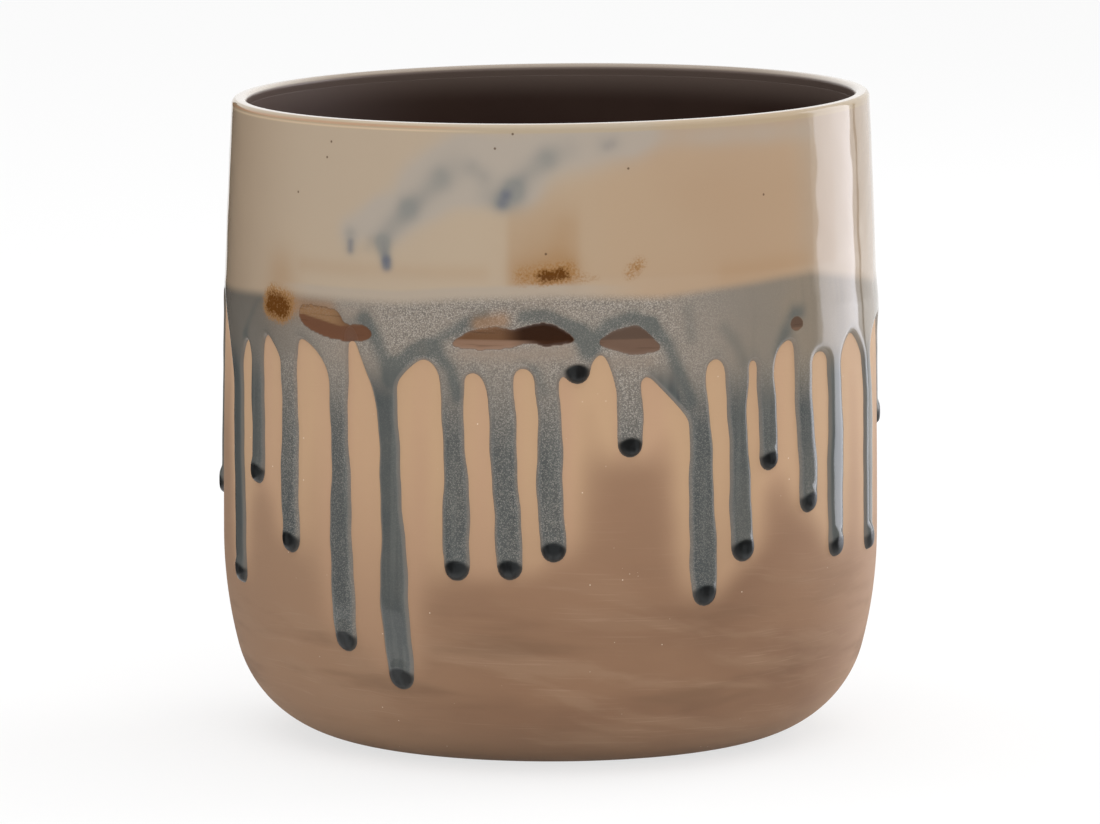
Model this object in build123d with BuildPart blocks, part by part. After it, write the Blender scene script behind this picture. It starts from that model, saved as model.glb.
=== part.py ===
from build123d import *
from math import asin, cos, radians, sin, sqrt
import os

# Cachepot: a stoneware shell with a dark liner, a cream upper coat, a grey glaze band and its runs.
# Millimetres, +Z up, origin at the centre of the foot on the ground, front towards -Y.

# Pot form
pot_height = 196
belly_radius = 100
belly_height = 62
lip_inset = 3.5
haunch_radius = 139
corner_radius = 36.7
wall_thickness = 3.4
lip_round_share = 0.35

# Foot and floor
floor_thickness = 5.5
foot_ring_width = 6
foot_recess_depth = 1.5

# Coats of glaze, and the hairline that each keeps from the clay
coat_thickness = 0.6
liner_thickness = 0.4
lip_wrap = 1.8
seat_clearance = 0.02

# Grey band and the windows where it parted
band_bottom = 121
band_height = 23
band_thickness = 1.2
pool_thickness = 0.35

# Runs and the beads that end them
run_width = 7.5
run_rise = 1.1
bead_width = 7.9
bead_rise = 1.7
run_lean = 1.4
finger_margin = 0.4
least_gap = 0.8

# Values for drawing and cutting alone
least_arc = 1.5
overrun = 5
wedge_turn = 30

# Each run: bearing in degrees from the front, its end as a share of the band's bottom height,
# its width as a share of run_width, and the rise of the arch that follows it as a share of the band.
run_shares = [
    (-95.0, 0.59, 0.95, 0.74),
    (-70.2, 0.416, 0.92, 0.21),
    (-61.4, 0.679, 0.95, 0.32),
    (-51.3, 0.524, 1.00, 0.34),
    (-38.7, 0.293, 0.90, 0.36),
    (-28.8, 0.208, 1.02, 0.20),
    (-16.7, 0.493, 0.94, 0.11),
    (-8.1, 0.498, 1.04, 0.14),
    (-0.1, 0.543, 1.00, 0.11),
    (4.7, 0.973, 0.90, 0.30),
    (13.6, 0.799, 0.96, 0.12),
    (26.6, 0.421, 1.00, 0.18),
    (34.2, 0.524, 0.96, 0.13),
    (40.7, 0.744, 0.84, 0.33),
    (49.9, 0.625, 0.96, 0.12),
    (59.2, 0.500, 0.94, 0.26),
    (74.3, 0.489, 0.80, 0.38),
    (95.5, 0.764, 0.92, 0.24),
    (106.0, 0.46, 0.96, 0.18),
    (116.5, 0.58, 1.00, 0.30),
    (126.0, 0.33, 0.94, 0.20),
    (137.5, 0.66, 0.90, 0.14),
    (147.0, 0.50, 1.02, 0.26),
    (158.5, 0.42, 0.96, 0.32),
    (170.0, 0.71, 0.88, 0.16),
    (179.0, 0.55, 0.98, 0.22),
    (189.5, 0.36, 1.00, 0.28),
    (201.0, 0.62, 0.92, 0.18),
    (211.5, 0.47, 1.04, 0.14),
    (222.0, 0.74, 0.86, 0.24),
    (232.5, 0.40, 0.98, 0.34),
    (244.0, 0.54, 0.94, 0.20),
    (254.5, 0.31, 1.00, 0.26),
]

# Each window: bearing, its middle above the band's bottom as a share of the band's height,
# its half width as a share of the belly radius, and its half height as a share of the band's height.
window_shares = [
    (-40.6, 0.60, 0.130, 0.11),
    (-6.2, 0.56, 0.183, 0.13),
    (13.8, 0.50, 0.088, 0.16),
    (47.3, 0.55, 0.027, 0.09),
]

# Sizes worked out from the values above
lip_round = lip_round_share * wall_thickness
clay_height = pot_height - coat_thickness
floor_top = foot_recess_depth + floor_thickness
band_top = band_bottom + band_height
bow_rise = clay_height - belly_height
bow_radius = (bow_rise**2 + lip_inset**2) / (2 * lip_inset)
foot_span = haunch_radius - corner_radius


def haunch_turn(inset, floor):
    """Angle of the haunch arc of a skin that lies inset inside the outside and is flat at floor."""
    return asin((belly_height - floor - corner_radius + inset) / foot_span)


def corner_centre(inset, floor):
    """Distance from the axis to the centre of the corner arc, which is also the flat's radius."""
    return belly_radius - haunch_radius + foot_span * cos(haunch_turn(inset, floor))


def haunch_foot(inset, floor):
    """Height where the haunch arc meets the corner arc."""
    return belly_height - (haunch_radius - inset) * sin(haunch_turn(inset, floor))


def skin_radius(height, inset=0, floor=0):
    """Distance from the axis to a skin at a height."""
    if height >= belly_height:
        reach = sqrt((bow_radius - inset) ** 2 - (height - belly_height) ** 2)
        return belly_radius - bow_radius + reach
    if height >= haunch_foot(inset, floor):
        reach = sqrt((haunch_radius - inset) ** 2 - (height - belly_height) ** 2)
        return belly_radius - haunch_radius + reach
    radius = corner_radius - inset
    reach = sqrt(max(radius**2 - (height - floor - radius) ** 2, 0))
    return corner_centre(inset, floor) + reach


def skin_arcs(top, bottom, inset=0, floor=0):
    """Draw a skin from top to bottom as its bow, haunch and corner arcs, as far as they reach."""
    joins = [belly_height, haunch_foot(inset, floor)]
    stops = [top, *[join for join in joins if top > join > bottom + least_arc], bottom]
    for upper, lower in zip(stops, stops[1:]):
        heights = (upper, (upper + lower) / 2, lower)
        ThreePointArc(*[(skin_radius(height, inset, floor), height) for height in heights])


def filled_section(inset, floor, top):
    """Half section of the whole space inside a skin, from the axis out."""
    with BuildSketch(Plane.XZ) as section:
        with BuildLine():
            skin_arcs(top, floor, inset, floor)
            Line((corner_centre(inset, floor), floor), (0, floor))
            Line((0, floor), (0, top))
            Line((0, top), (skin_radius(top, inset, floor), top))
        make_face()
    return section.sketch


def coat_section(thickness, bottom, top):
    """Half section of a coat on the outside of the clay, between two heights."""
    with BuildSketch(Plane.XZ) as section:
        with BuildLine():
            for grown in (thickness, seat_clearance):
                skin_arcs(top, bottom, -grown, -grown)
            for height in (bottom, top):
                outer = skin_radius(height, -thickness, -thickness)
                Line((skin_radius(height, -seat_clearance, -seat_clearance), height), (outer, height))
        make_face()
    return section.sketch


def lip_section(grown, outside_bottom, inside_bottom):
    """Half section of the wall at the lip, grown all round, down to a height on each side."""
    outer, inner, top = -grown, wall_thickness + grown, clay_height + grown
    with BuildSketch(Plane.XZ) as section:
        with BuildLine():
            skin_arcs(top, outside_bottom, outer, outer)
            skin_arcs(top, inside_bottom, inner, inner)
            Line((skin_radius(top, inner, inner), top), (skin_radius(top, outer, outer), top))
            Polyline(
                (skin_radius(inside_bottom, inner, inner), inside_bottom),
                (skin_radius(inside_bottom, wall_thickness, wall_thickness), inside_bottom),
                (skin_radius(outside_bottom), outside_bottom),
                (skin_radius(outside_bottom, outer, outer), outside_bottom),
            )
        make_face()
        fillet(section.vertices().group_by(Axis.Y)[-1], radius=lip_round + grown)
    return section.sketch


def facing(bearing):
    """Upright plane on the axis that faces out along a bearing, with x to its right and y up."""
    return Plane(Location((0, 0, 0), (0, 0, bearing)) * Location(Plane.XZ))


def cap_radius(width, rise):
    """Radius of the circle whose cap is this wide and this high."""
    return (width**2 / 4 + rise**2) / (2 * rise)


os.makedirs("parts", exist_ok=True)

# Clay shell: one revolved wall with a rounded lip, a flat foot ring and a recess under the foot.
ring_inner = corner_centre(0, 0) - foot_ring_width
with BuildPart() as stoneware_body:
    with BuildSketch(Plane.XZ) as shell_section:
        add(filled_section(0, 0, clay_height))
        add(filled_section(wall_thickness, floor_top, clay_height), mode=Mode.SUBTRACT)
        Rectangle(2 * ring_inner, 2 * foot_recess_depth, mode=Mode.SUBTRACT)
        fillet(shell_section.vertices().group_by(Axis.Y)[-1], radius=lip_round)
    revolve(axis=Axis.Z)
stoneware_body.part.label = "stoneware_body"
export_step(stoneware_body.part, "parts/stoneware_body.step")

# Liner: a thin coat over the floor and the inner wall, up to the coat that wraps the lip.
wrap_bottom = clay_height - lip_round - lip_wrap
with BuildPart() as liner_glaze:
    with BuildSketch(Plane.XZ):
        back = filled_section(wall_thickness + seat_clearance, floor_top + seat_clearance, wrap_bottom)
        front = filled_section(wall_thickness + liner_thickness, floor_top + liner_thickness, wrap_bottom)
        add(back)
        add(front, mode=Mode.SUBTRACT)
    revolve(axis=Axis.Z)
liner_glaze.part.label = "liner_glaze"
export_step(liner_glaze.part, "parts/liner_glaze.step")

# Upper coat: from the band up the outside, over the rounded lip and a little way down inside.
with BuildPart() as upper_glaze:
    with BuildSketch(Plane.XZ):
        add(lip_section(coat_thickness, band_top, wrap_bottom))
        clay_lip = lip_section(seat_clearance, band_top - overrun, wrap_bottom - overrun)
        add(clay_lip, mode=Mode.SUBTRACT)
    revolve(axis=Axis.Z)
upper_glaze.part.label = "upper_glaze"
export_step(upper_glaze.part, "parts/upper_glaze.step")

# Grey band: a thicker ring with an arch between each pair of runs, and the windows cut through.
bearings = [row[0] for row in run_shares]
widths = [run_width * row[2] for row in run_shares]
with BuildPart() as grey_band:
    with BuildSketch(Plane.XZ):
        add(coat_section(band_thickness, band_bottom, band_top))
    revolve(axis=Axis.Z)
    following = zip(bearings[1:] + [bearings[0] + 360], widths[1:] + [widths[0]])
    for row, width, (next_bearing, next_width) in zip(run_shares, widths, following):
        pitch = 2 * belly_radius * sin(radians(next_bearing - row[0]) / 2)
        half_width = max(pitch - (width + next_width) / 2 - finger_margin, least_gap) / 2
        with BuildSketch(facing((row[0] + next_bearing) / 2)):
            with Locations((0, band_bottom)):
                Ellipse(half_width, row[3] * band_height)
        extrude(amount=belly_radius + overrun, mode=Mode.SUBTRACT)
    for bearing, middle_share, width_share, height_share in window_shares:
        with BuildSketch(facing(bearing)):
            with Locations((0, band_bottom + middle_share * band_height)):
                Ellipse(width_share * belly_radius, height_share * band_height)
        extrude(amount=belly_radius + overrun, mode=Mode.SUBTRACT)
grey_band.part.label = "grey_band"
export_step(grey_band.part, "parts/grey_band.step")


def brown_pool(bearing, middle_share, width_share, height_share):
    """Thin glossy brown glaze that fills one window of the band."""
    with BuildPart() as pool:
        with BuildSketch(Plane.XZ):
            add(coat_section(pool_thickness, band_bottom, band_top))
        revolve(axis=Axis.Z)
        with BuildSketch(facing(bearing)):
            with Locations((0, band_bottom + middle_share * band_height)):
                Ellipse(width_share * belly_radius, height_share * band_height)
        extrude(amount=belly_radius + overrun, mode=Mode.INTERSECT)
    return pool


for number, window in enumerate(window_shares, 1):
    pool = brown_pool(*window)
    pool.part.label = f"brown_pool_{number}"
    export_step(pool.part, f"parts/{pool.part.label}.step")

# Runs are made on the side towards +X and turned to their bearings.
# The plane of their spines leans about the bottom of the band, so that they drift as they go down.
spine_plane = Plane(
    Location((0, 0, band_bottom))
    * Location(Plane.XZ)
    * Location((0, 0, 0), (run_lean, 0, 0))
    * Location((0, -band_bottom, 0))
)

# Wedge of the solid clay outline on that side, which cuts the back of a run to the wall.
wedge_start = Location((0, 0, 0), (0, 0, -wedge_turn / 2))
with BuildPart() as clay_wedge:
    with BuildSketch(Plane(wedge_start * Location(Plane.XZ))):
        add(filled_section(-seat_clearance, -seat_clearance, clay_height).moved(wedge_start))
    revolve(axis=Axis.Z, revolution_arc=wedge_turn)


def glaze_run(end_share, width_share):
    """One run: a ridge down the wall below the band, with a rounder, thicker bead at its end."""
    run_cap = cap_radius(run_width * width_share, run_rise)
    bead_cap = cap_radius(bead_width * width_share, bead_rise)
    bead_height = end_share * band_bottom + bead_width * width_share / 2
    run_inset = run_cap - run_rise
    bead_inset = bead_cap - bead_rise
    with BuildPart() as run:
        with BuildLine(spine_plane) as spine:
            skin_arcs(band_bottom + overrun, bead_height, run_inset, run_inset)
        with BuildSketch(Plane(spine.line @ 0, z_dir=spine.line % 0)):
            Circle(run_cap)
        sweep()
        bead_place = (skin_radius(bead_height, bead_inset, bead_inset), bead_height)
        with Locations(spine_plane.from_local_coords(bead_place)):
            Sphere(bead_cap)
        split(bisect_by=Plane.XY.offset(band_bottom), keep=Keep.BOTTOM)
        add(clay_wedge.part, mode=Mode.SUBTRACT)
    return run.part


for number, (bearing, end_share, width_share, arch_share) in enumerate(run_shares, 1):
    with BuildPart() as run:
        add(glaze_run(end_share, width_share), rotation=(0, 0, bearing - 90))
    run.part.label = f"glaze_run_{number:02d}"
    export_step(run.part, f"parts/{run.part.label}.step")
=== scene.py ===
import math
import bpy
import numpy as np
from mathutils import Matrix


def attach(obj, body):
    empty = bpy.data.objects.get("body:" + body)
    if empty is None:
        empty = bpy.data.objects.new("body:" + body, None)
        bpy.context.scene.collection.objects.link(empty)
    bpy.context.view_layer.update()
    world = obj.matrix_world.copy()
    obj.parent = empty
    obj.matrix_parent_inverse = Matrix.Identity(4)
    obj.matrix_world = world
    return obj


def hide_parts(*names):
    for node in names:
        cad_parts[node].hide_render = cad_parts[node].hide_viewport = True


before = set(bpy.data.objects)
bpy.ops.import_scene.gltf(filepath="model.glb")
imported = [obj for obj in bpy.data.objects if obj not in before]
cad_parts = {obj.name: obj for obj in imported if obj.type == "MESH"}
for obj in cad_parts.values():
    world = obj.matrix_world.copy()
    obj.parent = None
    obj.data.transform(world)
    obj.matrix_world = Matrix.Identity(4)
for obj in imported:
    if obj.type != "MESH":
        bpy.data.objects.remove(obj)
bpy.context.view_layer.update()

# Lie of the glaze on the pot, worked out first because clay and coats follow it. The potter dipped the
# upper half in a thick grey glaze that slid in the kiln: it stopped in a band, parted in four windows and
# ran on in fingers. Lengths are millimetres; bearings are degrees from the front, growing to the right.
pot_height, belly_radius, belly_height = 196.0, 100.0, 62.0
lip_inset, haunch_radius, corner_radius = 3.5, 139.0, 36.7
wall, coat, liner_coat, lip_roll = 3.4, 0.6, 0.4, 1.19
clay_height = pot_height - coat
bow_rise = clay_height - belly_height
bow_radius = (bow_rise**2 + lip_inset**2) / (2 * lip_inset)
rim_fall, fall_start = 0.0125, 100


def skin(height, inset=0.0, floor=0.0):
    """Distance from the axis to a skin that lies inset inside the clay's outside, at each height."""
    height = np.asarray(height, float)
    turn = math.asin((belly_height - floor - corner_radius + inset) / (haunch_radius - corner_radius))
    centre = belly_radius - haunch_radius + (haunch_radius - corner_radius) * math.cos(turn)
    foot = belly_height - (haunch_radius - inset) * math.sin(turn)
    bow = belly_radius - bow_radius + np.sqrt((bow_radius - inset) ** 2 - (height - belly_height) ** 2)
    haunch = belly_radius - haunch_radius + np.sqrt(
        np.maximum((haunch_radius - inset) ** 2 - (height - belly_height) ** 2, 0))
    corner = corner_radius - inset
    heel = centre + np.sqrt(np.maximum(corner**2 - (height - floor - corner) ** 2, 0))
    return np.where(height >= belly_height, bow, np.where(height >= foot, haunch, heel))


def smooth(value, low, high):
    """Soft step from 0 at low to 1 at high."""
    t = np.clip((value - low) / (high - low), 0, 1)
    return t * t * (3 - 2 * t)


def placed(radius, bearing, height):
    """Points in metres from radius, bearing and height, with the slight fall of the real rim to the left."""
    turn = np.radians(bearing)
    x, y, z = radius * np.sin(turn), -radius * np.cos(turn), height + 0 * turn
    share = np.clip((z - fall_start) / (pot_height - fall_start), 0, 1.1)
    return np.stack([x, y, z + rim_fall * x * share**2], -1) * 0.001


# Each front run: four bearings and four widths from its neck to its bead, the height of its end, and how
# frosty it is. Then the arch to its right: bearing and height of its top, and for each of its shoulders the
# height and the squareness.
front_runs = [
    ((-71.2, -70.3, -69.6, -68.9), (7.8, 7.4, 7.6, 7.0), 50.3, 0.0, (-66.3, 126.1, 7, 1.3, 7.5, 1.4)),
    ((-62.2, -61.9, -61.7, -61.6), (6.2, 7.6, 7.1, 7.1), 82.2, 0.15, (-59.2, 128.7, 6.5, 1.5, 8, 1.25)),
    ((-51.9, -51.5, -51.4, -50.9), (7.1, 7.3, 7.8, 7.2), 63.4, 0.8, (-49.4, 129.0, 2.5, 1.7, 11.5, 1.6)),
    ((-39.5, -38.9, -38.6, -38.3), (6.7, 6.5, 8.0, 7.2), 35.5, 0.6, (-37.0, 134.6, 4, 1.8, 18, 0.95)),
    ((-29.7, -28.4, -27.8, -27.5), (8.2, 6.3, 8.5, 7.6), 25.2, 0.12, (-22.4, 125.9, 7.5, 1.2, 6.5, 1.8)),
    ((-17.2, -16.6, -16.3, -16.1), (6.6, 6.2, 7.5, 7.1), 59.6, 0.6, (-13.2, 122.3, 2.4, 2.0, 5.8, 1.8)),
    ((-8.7, -8.0, -7.5, -6.9), (7.5, 7.2, 7.3, 6.9), 60.3, 0.72, (-4.8, 123.9, 3, 2.2, 5.5, 2.2)),
    ((-0.5, -0.15, 0.0, 0.55), (6.6, 6.6, 7.2, 6.9), 65.7, 0.75, (2.2, 123.2, 2, 2.0, 1.5, 2.0)),
    ((4.6, 4.6, 4.6, 4.6), (6.9, 6.9, 6.9, 6.9), 118.9, 0.0, (8.8, 128.5, 5, 1.4, 11.5, 1.3)),
    ((13.4, 13.6, 13.65, 13.7), (6.8, 7.2, 7.1, 6.9), 96.7, 1.0, (16.6, 121.4, 3, 2.0, 14, 1.15)),
    ((25.5, 26.65, 26.85, 27.35), (7.4, 6.8, 8.3, 7.3), 51.0, 0.5, (29.9, 125.1, 3, 2.2, 6.5, 2.0)),
    ((34.0, 34.1, 34.5, 35.0), (7.5, 6.3, 7.0, 7.7), 63.4, 0.25, (37.3, 124.3, 2, 2.2, 2, 2.2)),
    ((40.3, 40.45, 40.6, 40.7), (6.1, 6.9, 6.4, 6.6), 90.0, 0.3, (46.4, 128.7, 7.3, 2.0, 4, 2.0)),
    ((49.4, 49.9, 50.5, 50.5), (7.2, 7.5, 8.1, 7.1), 75.6, 0.35, (54.2, 123.8, 4, 2.3, 4, 2.3)),
    ((59.0, 59.2, 59.1, 59.0), (6.9, 7.9, 8.4, 7.2), 60.5, 0.0, (65.4, 127.6, 7, 1.5, 9, 1.3)),
    ((73.3, 74.3, 74.0, 74.1), (7.2, 7.8, 7.8, 6.8), 59.2, 0.0, (84.5, 129.0, 8, 1.8, 8, 1.8)),
]
# Runs that the back and sides carry: bearing, end height, width, and the height of the arch after it.
other_runs = [
    (95.5, 92.4, 6.9, 126.5), (106.0, 55.7, 7.2, 125.1), (116.5, 70.2, 7.5, 127.9),
    (126.0, 39.9, 7.1, 125.6), (137.5, 79.9, 6.8, 124.2), (147.0, 60.5, 7.7, 127.0),
    (158.5, 50.8, 7.2, 128.4), (170.0, 85.9, 6.6, 124.7), (179.0, 66.6, 7.4, 126.1),
    (189.5, 43.6, 7.5, 127.4), (201.0, 75.0, 6.9, 125.1), (211.5, 56.9, 7.8, 124.2),
    (222.0, 89.5, 6.5, 126.5), (232.5, 48.4, 7.4, 128.8), (244.0, 65.3, 7.1, 125.6),
    (254.5, 37.5, 7.5, 127.0),
]
draw = np.random.default_rng(7)
left_run = ((-95.4, -95.2, -95.0, -94.9), (7.0, 7.2, 7.2, 7.2), 71.4, 0.1, (-85.5, 137.0, 12, 1.8, 24, 1.45))
runs = [left_run, *front_runs]
for bearing, end, width, arch_top in other_runs:
    lean = draw.uniform(0.6, 1.6)
    pitch = min((row[0] - bearing for row in other_runs if row[0] > bearing), default=10.5)
    arch_bearing = bearing + pitch / 2 + draw.uniform(-0.8, 0.8)
    shoulders = [draw.uniform(3, 9), draw.uniform(1.5, 2.3), draw.uniform(3, 9), draw.uniform(1.4, 2.3)]
    widths = width + draw.uniform(-0.6, 0.6, 4)
    bend = tuple(bearing + lean * (t - 0.3) for t in (0, 0.4, 0.75, 1))
    runs.append((bend, tuple(widths), end, draw.uniform(0, 0.9), (arch_bearing, arch_top, *shoulders)))

# Lattice of the glaze sheet, with the bearing B and the height Z of each of its points, and the cover that
# the glaze has on it. A run starts at the neck under the band and ends in a round bead.
step, row_gap, sheet_foot, sheet_top = 0.25, 0.45, 18.0, 152.0
bearings = np.arange(-180, 180, step)
heights = np.arange(sheet_foot, sheet_top, row_gap)
B, Z = np.meshgrid(bearings, heights)
local = skin(heights)[:, None]
edge_soft, neck, ridge_top = 0.5, 118.0, 150
cover, bead, swell, frost = (np.zeros_like(B) for _ in range(4))


def from_run(bearing):
    """Distance round the pot from a bearing, in millimetres, the short way."""
    return local * np.radians((B - bearing + 180) % 360 - 180)


def course(row):
    """Centre bearing and half width of a run at every height, then the height and half width of its bead."""
    bend, widths, end = row[:3]
    half_bead = widths[3] / 2 + 0.4
    low = end + half_bead
    share = np.clip((neck - heights) / max(neck - low, 4), 0, 1)[:, None]
    fit = [np.polyfit((0, 0.34, 0.67, 1), values, 3) for values in (bend, widths)]
    return np.polyval(fit[0], share), np.polyval(fit[1], share) / 2 + 0.3, low, half_bead


run_column = np.zeros(B.shape, int)
for number, row in enumerate(runs):
    centre, half, low, half_bead = course(row)
    across = from_run(centre)
    edge_phase = row[0][0] * 1.7 + 2.1 * np.sign(across)
    wave = 0.26 * np.sin(Z / 5.3 + edge_phase) + 0.13 * np.sin(Z / 2.1 - edge_phase)
    wave = wave * smooth(Z, low, low + 6)
    ridge = np.where(Z >= low, half + wave - np.abs(across), half_bead - np.hypot(across, Z - low))
    cover = np.maximum(cover, np.clip(0.5 + ridge / edge_soft, 0, 1) * (Z < ridge_top))
    here = (np.abs(across) < half_bead + 0.3) & (Z > low - half_bead - 2)
    out = np.hypot(across * 0.86, (Z - low) * np.where(Z > low, 1.0, 0.86))
    out = out + 1.5 * np.clip((Z - low) / half_bead - 0.1, 0, 1)
    bead = np.maximum(bead, 1 - smooth(out, half_bead - 1.4, half_bead + 0.1))
    swell = np.maximum(swell, smooth(1 - np.hypot(across, (Z - low) * 0.8) / half_bead, -0.02, 0.3) * here)
    frost = np.where((np.abs(across) < half + 2) & (Z > low - half_bead), row[3], frost)
    for side in (-1, 1):
        top = row[4] if side > 0 else runs[number - 1][4]
        rise, square = (top[2], top[3]) if side > 0 else (top[4], top[5])
        apex = from_run(top[0])
        edge = np.maximum(np.abs(from_run(centre) - apex) - half, 0.3)
        between = (side * across >= 0) & (side * apex <= 0)
        u = np.abs(apex) / edge
        v = np.maximum((Z - (top[1] - rise)) / rise, 0)
        opening = (1 - (u**square + v**square) ** (1 / square)) * np.minimum(edge, rise)
        band = np.clip(0.5 - opening / edge_soft, 0, 1) * (Z > top[1] - rise - 0.2)
        cover = np.where(between, np.maximum(cover, band), cover)
        run_column = np.where(between, number, run_column)


def blurred(field, reach, fall=None):
    """Field smoothed over a reach in millimetres round the pot, and over the same or another up and down."""
    spacings = ((1, belly_radius * math.radians(step), reach), (0, heights[1] - heights[0], fall or reach))
    for axis, spacing, width in spacings:
        width = width / spacing
        taps = np.arange(-math.ceil(3 * width), math.ceil(3 * width) + 1)
        weights = np.exp(-0.5 * (taps / width) ** 2)
        weights /= weights.sum()
        if axis:
            field = sum(w * np.roll(field, t, 1) for t, w in zip(taps, weights))
        else:
            padded = np.pad(field, ((taps[-1], taps[-1]), (0, 0)), mode="edge")
            field = sum(w * padded[taps[-1] - t:taps[-1] - t + len(heights)] for t, w in zip(taps, weights))
    return field


# Windows where the thick glaze parted as it slid, so that the thin brown one under it shows: outlines by
# bearing and height, with their corners rounded off.
windows = [
    [(-49.0, 139.2), (-45.9, 139.6), (-42.7, 139.2), (-39.6, 138.7), (-38.7, 136.1), (-37.6, 134.3),
     (-34.5, 134.9), (-32.6, 133.8), (-32.0, 131.6), (-33.3, 130.1), (-36.1, 129.5), (-39.3, 129.6),
     (-42.8, 130.4), (-46.5, 132.1), (-48.9, 134.6)],
    [(-17.3, 130.8), (-15.3, 133.2), (-13.7, 134.7), (-12.1, 135.7), (-10.4, 136.0), (-8.4, 136.0),
     (-6.6, 134.9), (-5.4, 135.7), (-3.7, 136.6), (-1.6, 137.4), (0.2, 137.0), (1.8, 135.7),
     (4.6, 132.0), (2.6, 131.0), (0.8, 130.7), (-0.9, 130.2), (-2.6, 131.2), (-4.3, 131.5),
     (-6.2, 130.0), (-8.6, 129.5), (-11.2, 129.1), (-13.9, 129.2), (-16.4, 129.8)],
    [(8.0, 131.3), (9.5, 133.4), (10.9, 134.8), (12.6, 135.6), (14.9, 136.3), (16.3, 134.6),
     (17.7, 131.9), (19.3, 129.3), (18.3, 128.2), (16.3, 127.8), (14.0, 127.4), (11.6, 128.7),
     (9.2, 129.9)],
    [(45.6, 133.3), (46.2, 134.9), (47.3, 135.4), (48.6, 134.6), (49.1, 132.9), (48.4, 131.6),
     (47.2, 131.1), (46.1, 131.8)],
]
window = np.zeros_like(B)
window_number = np.zeros(B.shape, int)
for number, outline in enumerate(windows, 1):
    points = np.array(outline)
    for _ in range(3):
        after = np.roll(points, -1, 0)
        points = np.stack([0.75 * points + 0.25 * after, 0.25 * points + 0.75 * after], 1).reshape(-1, 2)
    within = np.zeros(B.shape, bool)
    for (b1, z1), (b2, z2) in zip(points, np.roll(points, -1, 0)):
        crossing = (z1 > Z) != (z2 > Z)
        within ^= crossing & (B < b1 + (b2 - b1) * (Z - z1) / (z2 - z1 + 1e-9))
    window = np.maximum(window, blurred(within.astype(float), 0.4))
    (left, low), (right, high) = points.min(0), points.max(0)
    nearby = (Z > low - 2.5) & (Z < high + 2.5) & (B > left - 1.5) & (B < right + 1.5)
    window_number = np.where(nearby, number, window_number)

# Thickness of the glaze, which drew itself into a rounded shoulder at every edge: thicker in the band,
# thickest in the beads, thin in the windows.
wave_draw = np.random.default_rng(11)
ripples = [(wave_draw.integers(9, 52), wave_draw.uniform(0.12, 0.42), *wave_draw.uniform(0, 6.3, 2))
           for _ in range(9)]


def ripple(bearing, height):
    """Slow waves of a poured glaze, in millimetres."""
    return 0.011 * sum(np.sin(np.radians(bearing) * around + a) * np.sin(height * up + b)
                       for around, up, a, b in ripples)


field = np.clip((blurred(cover, 1.35) - 0.5) * 2, -1, 1)
heart = np.clip((blurred(cover, 2.4) - 0.5) * 2, 0, 1)
shoulder = np.where(field > 0, field * 3 / (1 + 2 * field), field * 3)
wide = np.interp(bearings, (-180, -76.7, -49.1, -26.8, -17.5, 0, 19.1, 30.5, 43.8, 51.4, 65.6, 79.7, 179),
                 (141, 138.1, 140.9, 141.3, 142.9, 144.4, 143.4, 145.2, 146.8, 147.2, 143.5, 139.5, 141))
grey = 1 - smooth(Z, wide - 1.2, wide + 2.6)
full = coat + 0.6 * (1 - smooth(Z, wide - 8, wide + 4))
full = full - 0.1 * smooth(neck - Z, 0, 8) + 0.9 * blurred(swell, 0.8) + ripple(B, Z)
thickness = np.where(shoulder > 0, full * shoulder, 0.5 * shoulder)
smallest_window = 4
pool_depth = np.where(window_number == smallest_window, 1.0, 0.35)
thickness = thickness + (pool_depth - thickness) * np.clip(blurred(window, 0.7) * 1.1, 0, 1)
soft_cover, rim_rows, eaves_rows, eaves_foot = blurred(cover, 1.6), 8, 5, 131
rim = np.clip(soft_cover - np.roll(soft_cover, rim_rows, 0), 0, 1)
rim[:rim_rows] = 0
eaves = 1.6 * (blurred(np.roll(window, eaves_rows, 0), 1.5) - 0.6 * window)
eaves = np.clip(eaves, 0, 1) * (Z > eaves_foot)
back_sunk = 0.3
sheet = placed(local + thickness, B, Z)
back = placed(local - back_sunk + 0 * B, B, Z)


def outward(points):
    """Unit normals of a sheet of points that closes round the pot, facing away from it."""
    upward, onward = np.gradient(np.concatenate([points[:, -2:], points, points[:, :2]], 1), axis=(0, 1))
    normals = np.cross(onward[:, 2:-2], upward[:, 2:-2])
    return normals / np.linalg.norm(normals, axis=-1, keepdims=True)


facing = outward(sheet)

# Stoneware shell: one thrown wall of iron-bearing clay with a turned foot, left bare on its lower half.
# The clay goes pale and pink where the glaze above and beside it drew the iron out in the fire, and the
# wet sponge that wiped the foot clean left its strokes there.
floor_top, foot_recess, foot_ring = 7.0, 1.5, 6.0


def in_scene(name, data):
    """Object of the scene for a mesh, a lamp or the camera."""
    made = bpy.data.objects.new(name, data)
    bpy.context.scene.collection.objects.link(made)
    return made


def modelled(name, points, faces, marks=None):
    """Object from its points in metres and its faces, with the values that its paint reads at each point."""
    mesh = bpy.data.meshes.new(name)
    mesh.from_pydata(points.tolist(), [], faces)
    mesh.polygons.foreach_set("use_smooth", np.ones(len(faces), bool))
    for key, values in (marks or {}).items():
        mesh.attributes.new(key, "FLOAT", "POINT").data.foreach_set("value", values.astype(np.float32))
    return in_scene(name, mesh)


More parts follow.
